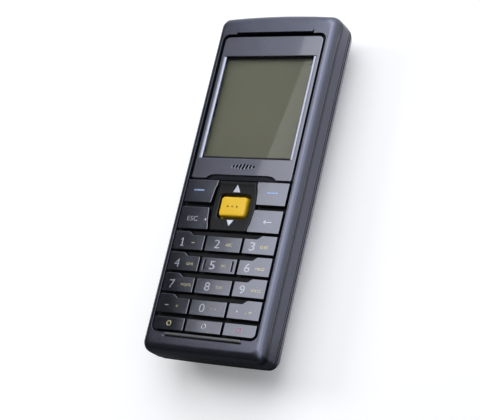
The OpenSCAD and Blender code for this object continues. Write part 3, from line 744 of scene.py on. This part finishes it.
# %% [markdown]
# ## Display bezel
#
# The bezel is a painted panel with a hole for the window, seven slanted sound slots and a finger scoop in its
# lower edge. The scoop is a step, so two plates lie on each other: one whole, and one cut round the scoop.
#
# %% Build the bezel
PANEL_HALF, PANEL_Z, PANEL_LOW, PANEL_TOP = 21.6, 23.2, -0.1, 57.9
PANEL_STEP, PANEL_DEPTH, CROWN_SHARE = 0.7, 1.6, 0.3
WINDOW_HOLE = (-20.1, 8.1, 20.1, 49.8)
SLOT_LEAN, SLOT_PITCH, SLOT_MIDDLE = -24, 1.45, (0.1, 4.9)
SLOT_HALF, SLOT_REACH, SLOT_TAPER = 0.3, 1.1, 0.22
SCOOP_SLOPE, SCOOP_TOP, SCOOP_RUN = 0.28, 2.3, 2.4
SCOOP = [(-15.2, PANEL_LOW), (-14.6, 0.5), (-13.4, 1.2), (-11.5, 1.45),
         (11.5, 1.45), (13.4, 1.2), (14.6, 0.5), (15.2, PANEL_LOW)]


def slot_loop(i):
    """Sound slot number i from the middle: a thin bar that leans to the right, shorter towards the ends."""
    lean, reach = math.radians(SLOT_LEAN), SLOT_REACH - SLOT_TAPER * abs(i)
    turn = np.array([[math.cos(lean), -math.sin(lean)], [math.sin(lean), math.cos(lean)]])
    bar = centred(0, 0, SLOT_HALF, reach, 0).corners
    return Outline(bar @ turn.T + SLOT_MIDDLE + [SLOT_PITCH * i, 0], 0.28).as_hole()


def panel_crown(x, y):
    """The bezel follows the crown of the front only in part, because the flat window lies in it."""
    return CROWN_SHARE * crown(x)


def scoop(x, y):
    """The scoop's floor slopes down towards the keys."""
    return SCOOP_SLOPE * np.clip(SCOOP_TOP - y, 0, SCOOP_RUN)


def bezel_shape():
    """The panel with its scoop cut away, on the whole panel a step below."""
    holes = [rectangle(*WINDOW_HOLE, 0.25).as_hole()] + [slot_loop(i) for i in range(-3, 4)]
    corners = [(PANEL_HALF, PANEL_LOW), (PANEL_HALF, PANEL_TOP), (-PANEL_HALF, PANEL_TOP),
               (-PANEL_HALF, PANEL_LOW)]
    soft = [0.5, 2.3, 2.3, 0.5]
    whole = Outline(corners, soft, steps=8)
    cut = Outline(corners + SCOOP, soft + [0.3] + [0.5] * 6 + [0.3], steps=6)
    step = PANEL_Z - PANEL_STEP
    return joined(plate(cut, step, PANEL_Z, roll=0.22, holes=holes, top=panel_crown, grid=3.0),
                  plate(whole, PANEL_Z - PANEL_DEPTH, step, roll=0.08, holes=holes, top=scoop, grid=1.2))


display_panel = add_piece("display_panel", bezel_shape(), BEZEL, "casing", ["display_bezel"])

# %% Bright strips beside the window
STRIP_X, STRIP_LOW = (19.27, 20.08), 21.62
STRIP_ENDS = ((8.14, 0.06), (8.2, 0.0), (49.7, 0.0), (49.76, 0.06))


def strip_shape(inner, outer):
    """A bar on the right of the window with rolled edges; its upper face runs from one height to another."""
    corners = [(STRIP_X[0], STRIP_LOW), (STRIP_X[1], STRIP_LOW), (STRIP_X[1], outer), (STRIP_X[0], inner)]
    profile = Outline(corners, 0.16)
    rings = [np.insert(profile.at(inset), 1, y, axis=1) for y, inset in STRIP_ENDS]
    return capped([ring[::-1] for ring in rings])


# Both upper faces fall to the right, so that both catch the same light.
for side, shape in (("right", strip_shape(23.12, 22.85)), ("left", mirrored(strip_shape(22.78, 23.12)))):
    add_piece("strip_" + side, shape, TRIM, "casing", ["window_strip_" + side])

# %% Black print along the window; its upper band is partly painted shade
PRINT_LOW, PRINT_HIGH, PRINT_HALF = 21.6, 21.63, 19.2
# The upper band is partly print and partly painted shade under the window's top wall; its left end slants
# like that shade.
upper_print_and_shade = Outline([(-18.6, 49.15), (PRINT_HALF, 49.15), (PRINT_HALF, 49.75), (-PRINT_HALF, 49.75)], 0.1)
lower_print = rectangle(-PRINT_HALF, 8.15, PRINT_HALF, 9.3, 0.1)
print_and_shade_bands = [plate(outline, PRINT_LOW, PRINT_HIGH, roll=0.01) for outline in (upper_print_and_shade, lower_print)]
add_piece("window_print_and_shade", joined(*print_and_shade_bands), BLACK, "casing")
print("bezel:", len(display_panel.data.polygons), "faces")

# %% [markdown]
# ## Tile keys
#
# Each key is a thin lacquered tile on a stem. A number row's outer keys step down at their inner end, where a
# divider of the frame shows, and the keys beside the rocker follow its outline.
#
# %% Outlines of the keys
KEY_TOP, TILE_LOW, TILE_ROLL = 24.0, 22.5, 0.13
INNER_X, MIDDLE_HALF, KEYPAD_HALF = 8.55, 7.55, 21.8
STEP_OUT, STEP_IN, STEP_DOWN = 15.6, 13.9, 1.35
NUMBER_TOP, NUMBER_LOW, PITCH = -21.5, -28.55, 8.1
RING_TOP, RING_LOW = -54.5, -59.2
SOFT_SIDE = [(8.5, -1.1), (8.6, -3.1), (9.1, -4.1), (9.8, -9.9)]
EDIT_SIDE = [(9.8, -11.8), (9.1, -17.6), (8.6, -18.6), (8.5, -20.4)]


def beside_rocker(side):
    """A key whose left side, given from the top down, follows the rocker."""
    corners = [*side, (KEYPAD_HALF, side[-1][1]), (KEYPAD_HALF, side[0][1])]
    return Outline(corners, [0.35, 0.5, 0.5, 0.35, 0.35, 0.35])


def outer_outline(low, top):
    """An outer key of a number row, with the step at its inner end."""
    return Outline([(INNER_X, low), (KEYPAD_HALF, low), (KEYPAD_HALF, top), (STEP_OUT, top),
                    (STEP_IN, top - STEP_DOWN), (INNER_X, top - STEP_DOWN)], [0.3, 0.3, 0.3, 0.5, 0.5, 0.3])


soft_key, edit_key = beside_rocker(SOFT_SIDE), beside_rocker(EDIT_SIDE)
ring_key = rectangle(INNER_X, RING_LOW, KEYPAD_HALF, RING_TOP, [0.3, 1.7, 0.3, 0.3], steps=7)
KEYS = {"key_soft_left": soft_key.mirrored(), "key_soft_right": soft_key,
        "key_escape": edit_key.mirrored(), "key_back": edit_key, "key_ring_yellow": ring_key.mirrored(),
        "key_ring_white": rectangle(-MIDDLE_HALF, RING_LOW, MIDDLE_HALF, RING_TOP, 0.3),
        "key_ring_red": ring_key}
WIDE_KEYS = ("key_soft_left", "key_soft_right", "key_escape", "key_back")
NUMBER_KEYS = (("key_1", "key_2", "key_3"), ("key_4", "key_5", "key_6"), ("key_7", "key_8", "key_9"),
               ("key_minus", "key_0", "key_point"))
for i, (left, middle, right) in enumerate(NUMBER_KEYS):
    low, top = NUMBER_LOW - PITCH * i, NUMBER_TOP - PITCH * i
    KEYS[left] = outer_outline(low, top).mirrored()
    KEYS[middle] = rectangle(-MIDDLE_HALF, low, MIDDLE_HALF, top - STEP_DOWN, 0.3)
    KEYS[right] = outer_outline(low, top)

# %% Build the keys
WIDE_STEM_X, STEM_X = 15.6, 15.075
STEM_HALF, FLANGE_HALF = (3.5, 1.2), (4.3, 2)
FINGER_GROOVE, FINGER_X, FINGER_HALF = 0.4, (-6, 6), (0.3, 1.9)


def stem_shape(node_name):
    """The stem and flange under a tile, at the places of its CAD node."""
    low, high = (np.array(corner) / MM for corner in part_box(node_name))
    middle = KEYS[node_name].at()[:, 0].mean()
    outer, wide = abs(middle) > 1, node_name in WIDE_KEYS
    x = math.copysign(WIDE_STEM_X if wide else STEM_X, middle) if outer else 0.0
    stepped = outer and not wide and "ring" not in node_name
    y = (high[1] + low[1] - (STEP_DOWN if stepped else 0)) / 2
    foot = low[2]
    return joined(plate(centred(x, y, *STEM_HALF, 0.3), foot + 0.7, TILE_LOW + 0.05, roll=0.02),
                  plate(centred(x, y, *FLANGE_HALF, 0.6), foot, foot + 0.75, roll=0.1))


def groove_holes(outline):
    """The two feelable grooves of the middle key, as clockwise holes of the thin top plate."""
    y = outline.corners[:, 1].mean()
    return [centred(x, y, *FINGER_HALF, 0.2).as_hole() for x in FINGER_X]


def key_shape(node_name):
    """Tile and stem. The middle key's upper part has two holes, and its lower part closes them below."""
    outline = KEYS[node_name]
    if node_name != "key_5":
        return joined(plate(outline, TILE_LOW, KEY_TOP, TILE_ROLL, top=crown, grid=1.6),
                      stem_shape(node_name))
    step = KEY_TOP - FINGER_GROOVE
    return joined(plate(outline, step, KEY_TOP, TILE_ROLL, groove_holes(outline), top=crown, grid=1.6),
                  plate(outline, TILE_LOW, step, 0.01), stem_shape(node_name))


for node_name in KEYS:
    add_piece(node_name.replace("key_", "tile_"), key_shape(node_name), TILE, node_name,
              [node_name])
print("keys:", len(KEYS))

# %% [markdown]
# ## Rocker and scan key
#
# The rocker is a dished black plate with bellied sides and a hole for the yellow key. Both are surfaces in
# polar form: for each direction from the centre, the outline's distance is found, and rings run between the
# outer edge and the hole, or to the middle.
#
# %% Build the rocker
NAV_Y, NAV_HALF, NAV_BASE = -10.85, 9.55, 19.5
NAV_CREST, NAV_DIP, NAV_ROLL = 23.75, 0.75, 0.45
NAV_STEP, NAV_HOLE = 1.1, (6.4, 4.65)
NAV_SIDE = [(7.9, -20.4), (8.0, -18.6), (8.5, -17.6), (9.2, NAV_Y), (8.5, -4.1), (8.0, -3.1), (7.9, -1.3)]
NAV_CENTRE = np.array([0.0, NAV_Y])
RAYS = np.column_stack([np.cos(whole_turn(288)), np.sin(whole_turn(288))])
PIN_Z, PIN_PROFILE = 20.3, ((8.9, 0.8), (11.0, 0.8), (11.15, 0.7), (11.2, 0.5))


def polar(loop):
    """Distance of an outline from the rocker's centre along each ray."""
    a = loop - NAV_CENTRE
    side, ray = np.roll(a, -1, 0) - a, RAYS[:, None]
    cross = ray[..., 0] * side[:, 1] - ray[..., 1] * side[:, 0]
    with np.errstate(divide="ignore", invalid="ignore"):
        reach = (a[:, 0] * side[:, 1] - a[:, 1] * side[:, 0]) / cross
        along = (a[:, 0] * ray[..., 1] - a[:, 1] * ray[..., 0]) / cross
    hit = (along >= -1e-9) & (along <= 1 + 1e-9) & (reach > 0)
    return np.where(hit, reach, np.inf).min(1)


def polar_ring(distance, z):
    """A ring at its own distance from the rocker's centre along each ray, and at one height."""
    return at_height(NAV_CENTRE + RAYS * distance[:, None], z)


def nav_height(x, y):
    """The dish: lowest on the rocker's axis, and rising with the square of the distance from it."""
    return NAV_CREST - NAV_DIP * (1 - ((y - NAV_Y) / NAV_HALF) ** 2)


def dished_ring(distance, drop=0.0):
    """A ring on the dish, or below it by a drop."""
    ring = polar_ring(distance, 0.0)
    ring[:, 2] = nav_height(ring[:, 0], ring[:, 1]) - drop
    return ring


def rolled_rings(edge, way):
    """Rings from a wall up to the dish, over a quarter circle that leans in (-1) or out (+1)."""
    return [dished_ring(edge + way * NAV_ROLL * (1 - math.cos(a)), NAV_ROLL * (1 - math.sin(a)))
            for a in quarter(6)]


def rocker_shape():
    """Rings go up the outer wall, over a rolled edge, across the dish and down the hole; the last one closes
    back on the first under the plate."""
    outer = polar(Outline(NAV_SIDE + [(-x, y) for x, y in NAV_SIDE[::-1]], 0.7).at())
    inner = polar(centred(0, NAV_Y, *NAV_HOLE, 1.6, steps=8).at())
    dish = [dished_ring((outer - NAV_ROLL) * (1 - share) + (inner + NAV_ROLL) * share)
            for share in np.linspace(0.1, 0.9, 7)]
    hole = [polar_ring(inner, NAV_BASE + NAV_STEP), polar_ring(inner + 0.8, NAV_BASE + NAV_STEP),
            polar_ring(inner + 0.8, NAV_BASE)]
    wall = [polar_ring(outer - 0.3, NAV_BASE), polar_ring(outer, NAV_BASE + 0.3)]
    return loft(wall + rolled_rings(outer, -1) + dish + rolled_rings(inner, 1)[::-1] + hole, closed=True)


def pin_shape():
    """The right pivot pin: a circle carried along X, with a rounded tip."""
    turn = whole_turn(24)
    return capped([np.column_stack([np.full(24, x), NAV_Y + r * np.cos(turn), PIN_Z + r * np.sin(turn)])
                   for x, r in PIN_PROFILE])


nav_plate = add_piece("nav_plate", joined(rocker_shape(), pin_shape(), mirrored(pin_shape())), ROCKER,
                      "nav_rocker", ["nav_rocker"], crease=50)

# %% Build the scan key
PILLOW, SHOULDER_Z, PAD_RISE, PAD_DOME, PAD_HALF = 0.85, 22.6, 1.15, 0.15, (5.6, 3.85)
PAD_WALL = ((0.9, 19.6), (0.95, 20.1), (0.0, 20.2), (0.0, SHOULDER_Z))


def scan_key_shape():
    """A pillow: above a flange and a wall, the edge rolls over along a quarter ellipse, and the top domes up
    to the middle with the square of the distance."""
    edge = polar(centred(0, NAV_Y, *PAD_HALF, 1.5, steps=8).at())
    wall = [polar_ring(edge + out, z) for out, z in PAD_WALL]
    rolled = [polar_ring(edge - PILLOW * (1 - math.cos(a)), SHOULDER_Z + PAD_RISE * math.sin(a))
              for a in quarter(9)[1:]]
    dome = [polar_ring((edge - PILLOW) * share, SHOULDER_Z + PAD_RISE + PAD_DOME * (1 - share ** 2))
            for share in (0.9, 0.7, 0.5, 0.3, 0.12)]
    return capped(wall + rolled + dome)


def ring_shape(x, y, z, radius, tube):
    """A torus lying flat: a small circle of radius tube carried round a larger one."""
    around = whole_turn(32)
    return loft([np.column_stack([x + (radius + tube * math.cos(a)) * np.cos(around),
                                  y + (radius + tube * math.cos(a)) * np.sin(around),
                                  np.full(32, z + tube * math.sin(a))]) for a in whole_turn(8)], closed=True)


scan_pad = add_piece("scan_pad", scan_key_shape(), SCAN, "scan_key", ["scan_key"], crease=50)
dots = joined(*[ring_shape(x, NAV_Y - 0.1, 23.8, 0.22, 0.2) for x in (-2, 0, 2)])
add_piece("scan_marks", dots, AMBER, "scan_key")
print("rocker and scan key:", len(nav_plate.data.polygons) + len(scan_pad.data.polygons), "faces")

# %% [markdown]
# ## Legends
#
# The legends are printed ink, a few hundredths of a millimetre thick. Plain digits, generic words and arrows
# are enough. Text becomes a mesh first, and then it is stretched to the printed width and height and laid on
# the crowned tile.
#
# %% Ink on the keys
INK = 0.03


def tile_height(x, y):
    """Height of the crowned tiles."""
    return KEY_TOP - crown(x)


def laid(points, faces, height=tile_height):
    """Drops ink onto a surface: it follows the height of what is below it."""
    points[:, 2] += height(points[:, 0], points[:, 1])
    return points, faces


def word_shape(text, x, y, width, height):
    """Text as a mesh, stretched so that its box starts at x, y and has this width and height."""
    curve = bpy.data.curves.new("word", "FONT")
    curve.body = text
    curve.extrude = 1.0
    curve.resolution_u = 4
    holder = linked("word", curve)
    mesh = evaluated_mesh(holder)
    points = points_of(mesh).reshape(-1, 3)
    faces = [list(polygon.vertices) for polygon in mesh.polygons]
    bpy.data.objects.remove(holder)
    bpy.data.meshes.remove(mesh)
    low, high = points.min(0), points.max(0)
    points = (points - low) / np.maximum(high - low, 1e-9) * [width, height, INK] + [x, y, -INK / 2]
    return laid(points, faces)


def flat_ink(outline, height=tile_height):
    """A flat mark: a very thin plate, laid on a surface."""
    return laid(*plate(outline, -INK / 2, INK / 2, roll=INK / 4, steps=1), height)


def one_outline(x, y):
    """The digit one, with a flag at the top and a foot."""
    corners = [(-0.75, -1.6), (0.75, -1.6), (0.75, -1.25), (0.24, -1.25), (0.24, 1.6), (-0.1, 1.6),
               (-0.8, 1.05), (-0.8, 0.62), (-0.2, 1.0), (-0.2, -1.25), (-0.75, -1.25)]
    return Outline(np.array(corners) + [x, y], 0.05)


def ink(body, name, shape, material):
    """A mark that moves with its key or with the rocker."""
    add_piece("ink_" + name, shape, material, body, crease=60)


# %% Digits and letters
DIGIT_SIZES = {"-": (1.6, 0.4), ".": (0.8, 0.8)}
DIGIT_WIDTH, DIGIT_HEIGHT, DIGIT_UP = 2.3, 3.2, 2.85
LETTERS_HEIGHT, DASH_HEIGHT = 1.1, 0.3
COLUMNS = {-1: (-19.1, -13.8), 0: (-3.6, 1.1), 1: (11.3, 15.9)}
LEGENDS = {"key_1": ("1", "-", 1.4), "key_2": ("2", "ABC", 2.9), "key_3": ("3", "DEF", 3.2),
           "key_4": ("4", "GHI", 2.9), "key_5": ("5", "JKL", 2.5), "key_6": ("6", "MNO", 3.7),
           "key_7": ("7", "PQRS", 4.2), "key_8": ("8", "TUV", 3.0), "key_9": ("9", "WXYZ", 4.4),
           "key_0": ("0", "/  +", 2.4), "key_minus": ("-", "*", 0.9), "key_point": (".", ",  #", 2.6)}
for node_name, (digit, letters, letters_width) in LEGENDS.items():
    low, high = (np.array(corner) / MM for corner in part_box(node_name))
    digit_x, letters_x = COLUMNS[int(np.sign(round((low[0] + high[0]) / 20)))]
    middle = low[1] + DIGIT_UP
    width, height = DIGIT_SIZES.get(digit, (DIGIT_WIDTH, DIGIT_HEIGHT))
    if digit == "1":
        shape = flat_ink(one_outline(digit_x + DIGIT_WIDTH / 2, middle))
    else:
        shape = word_shape(digit, digit_x + (DIGIT_WIDTH - width) / 2, middle - height / 2, width, height)
    ink(node_name, node_name[4:], shape, WHITE_INK)
    height = DASH_HEIGHT if letters == "-" else LETTERS_HEIGHT
    shape = word_shape(letters, letters_x, middle - height / 2 - 0.1, letters_width, height)
    ink(node_name, node_name[4:] + "_letters", shape, YELLOW_INK)

# %% Words, dashes, arrows and rings
ESCAPE_WORD, DASH_HALF, RING_Y, RING_SIZE = (-18.3, -17.3, 4.6, 1.8), 2.3, -56.75, (0.85, 0.22)
ARROWS = {"up": [(-1.55, -5.2), (1.55, -5.2), (0, -2.3)], "down": [(1.5, -16.0), (-1.5, -16.0), (0, -18.4)]}
ESCAPE_ARROW = [(-10.9, -16.6), (-9.9, -17.2), (-9.9, -16.0)]
BACK_ARROW = [(14.2, -16.35), (15.5, -17.2), (15.5, -16.6), (17.9, -16.6), (17.9, -16.1), (15.5, -16.1),
              (15.5, -15.5)]
# Black bars on the floors of the middle key's grooves paint the shade in the grooves.
bars = [plate(hole.as_hole(), KEY_TOP - 0.42, KEY_TOP - 0.36, roll=0.01, top=crown)
        for hole in groove_holes(KEYS["key_5"])]
ink("key_5", "bars", joined(*bars), BLACK)
ink("key_escape", "left", flat_ink(Outline(ESCAPE_ARROW, 0.05)), WHITE_INK)
ink("key_escape", "escape", word_shape("ESC", *ESCAPE_WORD), WHITE_INK)
for side, x in (("left", -16.1), ("right", 15.5)):
    dash = rectangle(x - DASH_HALF, -5.5, x + DASH_HALF, -4.9, 0.25)
    ink("key_soft_" + side, "soft_" + side, flat_ink(dash), BLUE_INK)
ink("key_back", "back", flat_ink(Outline(BACK_ARROW, 0.08)), WHITE_INK)
for tint, x, material in (("yellow", -15.1, YELLOW_INK), ("white", 0.0, WHITE_INK), ("red", 15.1, RED_INK)):
    points, faces = ring_shape(x, RING_Y, 0, *RING_SIZE)
    ink("key_ring_" + tint, "ring_" + tint, laid(points * [1, 1, 0.1], faces), material)
for way, corners in ARROWS.items():
    ink("nav_rocker", way, flat_ink(Outline(corners, 0.15), nav_height), SILVER_INK)

# %% [markdown]
# ## Floor and light
#
# The terminal lies on a pale sheet under soft light. The floor turns white where the camera or a reflection
# sees it and still keeps the shadow, but in front of the terminal reflections see it painted dark. One large
# card overhead has a straight edge, which draws the gloss line down the front, and the left side of the room
# is dark.
#
# %% Floor
FLOOR_HALF, FLOOR_DROP = 20, 0.0002
NEAR_AND_FAR, LIFT, DARK_REFLECTION_SPAN = (0.15, 0.8), (0.2, 0.7), (-0.05, -0.068)
PALE, PAINTED_REFLECTION_DARK = (0.86, 0.86, 0.86, 1), (0.07, 0.07, 0.075, 1)


def floor_material():
    """A pale sheet that glows where the camera sees it, directly or in a reflection, and more so far away. In
    front of the terminal it turns dark where reflections see it, which paints a dark reflection on the
    terminal's lower end."""
    made, tree, shader = principled("pale sheet")
    path = add_node(tree, "LightPath").outputs
    place = add_node(tree, "TexCoord").outputs["Object"]
    parts = add_node(tree, "SeparateXYZ", {0: place})
    away = add_node(tree, "VectorMath", {0: place}, operation="LENGTH")
    lift = spread(tree, away.outputs["Value"], NEAR_AND_FAR, LIFT)
    front = spread(tree, parts.outputs["Y"], DARK_REFLECTION_SPAN)
    # Painted dark reflection: in front of the terminal, reflections see a dark floor without glow.
    painted_dark_reflection = reckon(tree, "MULTIPLY", front, path["Is Glossy Ray"])
    seen = reckon(tree, "MAXIMUM", reckon(tree, "MAXIMUM", path["Is Camera Ray"], path["Is Glossy Ray"]),
                  path["Is Transmission Ray"])
    glow = reckon(tree, "MULTIPLY", reckon(tree, "SUBTRACT", seen, painted_dark_reflection), lift)
    tone = add_node(tree, "Mix", {0: painted_dark_reflection, 6: PALE, 7: PAINTED_REFLECTION_DARK}, data_type="RGBA")
    feed(shader, {"Base Color": tone.outputs[2], "Roughness": 0.9, "Emission Color": (1, 1, 1, 1),
                  "Emission Strength": glow})
    return made


corners = np.array([(-1, -1, 0), (1, -1, 0), (1, 1, 0), (-1, 1, 0)]) * FLOOR_HALF / MM
floor = linked("floor", mesh_of("floor", (corners, [(0, 1, 2, 3)]), floor_material()))
floor.location.z = -FLOOR_DROP


# %% Light
BRIGHT_WAY, SKY_SPAN, SKY_LEVELS, SKY_TINT = (1, 1.13, 0), (-0.38, 0.9), (0.05, 2.4), (0.95, 0.98, 1.06, 1)
CLEAR_OF_HORIZON, HORIZON_SHARE, SOFT_SHARE = 0.45, 0.5, 0.45
SIDE_SPOT = Vector((-0.6, 0.1, 0.55))


def card(name, spot, turn, size, power):
    """A square lamp at a spot, in metres, turned by Euler angles."""
    lamp = bpy.data.lights.new(name, "AREA")
    lamp.shape, lamp.size, lamp.size_y, lamp.energy = "RECTANGLE", size, size, power
    holder = linked(name, lamp)
    holder.location, holder.rotation_euler = spot, turn
    return holder


def room():
    """A sky that is bright to the right and behind, and dark to the left and in front. Its strength is a
    plane in the viewing direction, held between two levels, times a factor that falls towards the horizon.
    Matt surfaces get a smaller share of it than reflections do."""
    made = bpy.data.worlds.new("room")
    made.use_nodes = True
    tree = made.node_tree
    path = add_node(tree, "LightPath").outputs
    direction = add_node(tree, "TexCoord").outputs["Generated"]
    slope = add_node(tree, "VectorMath", {0: direction, 1: BRIGHT_WAY}, operation="DOT_PRODUCT")
    sky = spread(tree, slope.outputs["Value"], SKY_SPAN, SKY_LEVELS)
    parts = add_node(tree, "SeparateXYZ", {0: direction})
    height = spread(tree, parts.outputs["Z"], (0, CLEAR_OF_HORIZON), (HORIZON_SHARE, 1))
    share = spread(tree, path["Is Glossy Ray"], levels=(SOFT_SHARE, 1))
    sheen = reckon(tree, "MULTIPLY", share, reckon(tree, "MULTIPLY", sky, height))
    shown = add_node(tree, "Mix", {"Factor": path["Is Camera Ray"], "A": sheen, "B": 1.0}, data_type="FLOAT")
    feed(tree.nodes["Background"], {"Color": SKY_TINT, "Strength": shown.outputs["Result"]})
    return made


bpy.context.scene.world = room()
card("gloss_card", (0.018, 0.411, 0.7), (0, 0, math.radians(-9.6)), 0.85, 4.3)
side_card = card("side_card", SIDE_SPOT, (-SIDE_SPOT).to_track_quat("-Z", "Y").to_euler(), 0.3, 1.8)
side_card.visible_glossy = False
